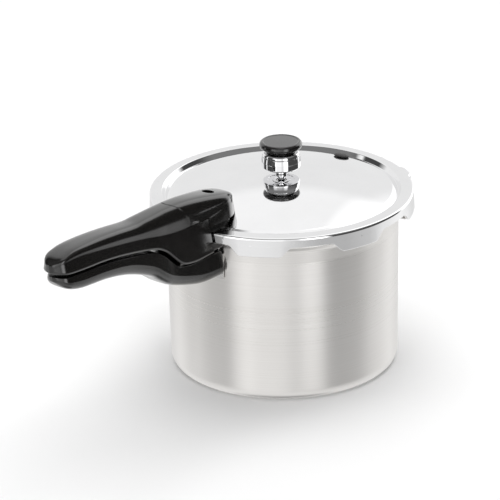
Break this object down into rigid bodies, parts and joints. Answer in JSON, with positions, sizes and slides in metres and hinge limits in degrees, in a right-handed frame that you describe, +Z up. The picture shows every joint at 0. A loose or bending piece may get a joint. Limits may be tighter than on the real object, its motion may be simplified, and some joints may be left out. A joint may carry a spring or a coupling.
{
  "type": "pressure cooker",
  "caption": "Stovetop pressure cooker: aluminium pot, locking domed cover with deadweight regulator, two stacked long handles and an inner rack.",
  "frame": {"origin": "centre of the flat base of the pot, on the surface it stands on", "axes": "+Z up through the pot and its cover, +X from the pot's centre along the stacked handles to their tips"},
  "size_m": [0.4381, 0.246, 0.2159],
  "materials": {
    "pot": "brushed, spun finish",
    "cover": "mirror polished",
    "rack": "satin, perforated",
    "chrome": "polished chrome plate",
    "steel": "satin stamped or turned steel",
    "handle": "glossy black phenolic",
    "rubber": "matte black rubber"
  },
  "bodies": {
    "pot": {"pot_body": "pot", "body_handle": "handle", "body_handle_bracket": "steel", "body_handle_rivet_left": "steel", "body_handle_rivet_right": "steel", "body_handle_screw": "steel", "body_handle_washer": "steel", "lock_bracket": "steel", "lock_bracket_rivet": "steel"},
    "rack": {"cooking_rack": "rack"},
    "cover": {"cover": "cover", "sealing_ring": "rubber", "overpressure_plug": "rubber", "vent_pipe": "chrome", "vent_pipe_washer": "rubber", "vent_pipe_nut": "steel", "cover_handle_bracket": "steel", "cover_bracket_rivet_left": "steel", "cover_bracket_rivet_right": "steel", "cover_handle_head": "handle", "cover_handle_grip": "handle", "cover_handle_screw_front": "steel", "cover_handle_screw_rear": "steel", "cover_lock_bushing": "steel", "cover_lock_nut": "steel"},
    "cover_lock": {"cover_lock_pin": "steel", "cover_lock_gasket": "rubber"},
    "regulator": {"regulator_skirt": "chrome", "regulator_upper_body": "chrome", "regulator_seat": "steel", "regulator_clip": "steel", "regulator_stud": "steel", "regulator_knob": "handle"}
  },
  "joints": [
    {"name": "cover_turn", "type": "hinge", "parent": "pot", "child": "cover", "pos_m": [0, 0, 0.15], "axis": [0, 0, 1], "range_deg": [-22.5, 0]},
    {"name": "cover_lock_rise", "type": "slide", "parent": "cover", "child": "cover_lock", "axis": [0, 0, 1], "range_m": [0, 0.004]},
    {"name": "regulator_lift", "type": "slide", "parent": "cover", "child": "regulator", "axis": [0, 0, 1], "range_m": [0, 0.04]},
    {"name": "rack_lift", "type": "slide", "parent": "pot", "child": "rack", "axis": [0, 0, 1], "range_m": [0, 0.1]}
  ]
}
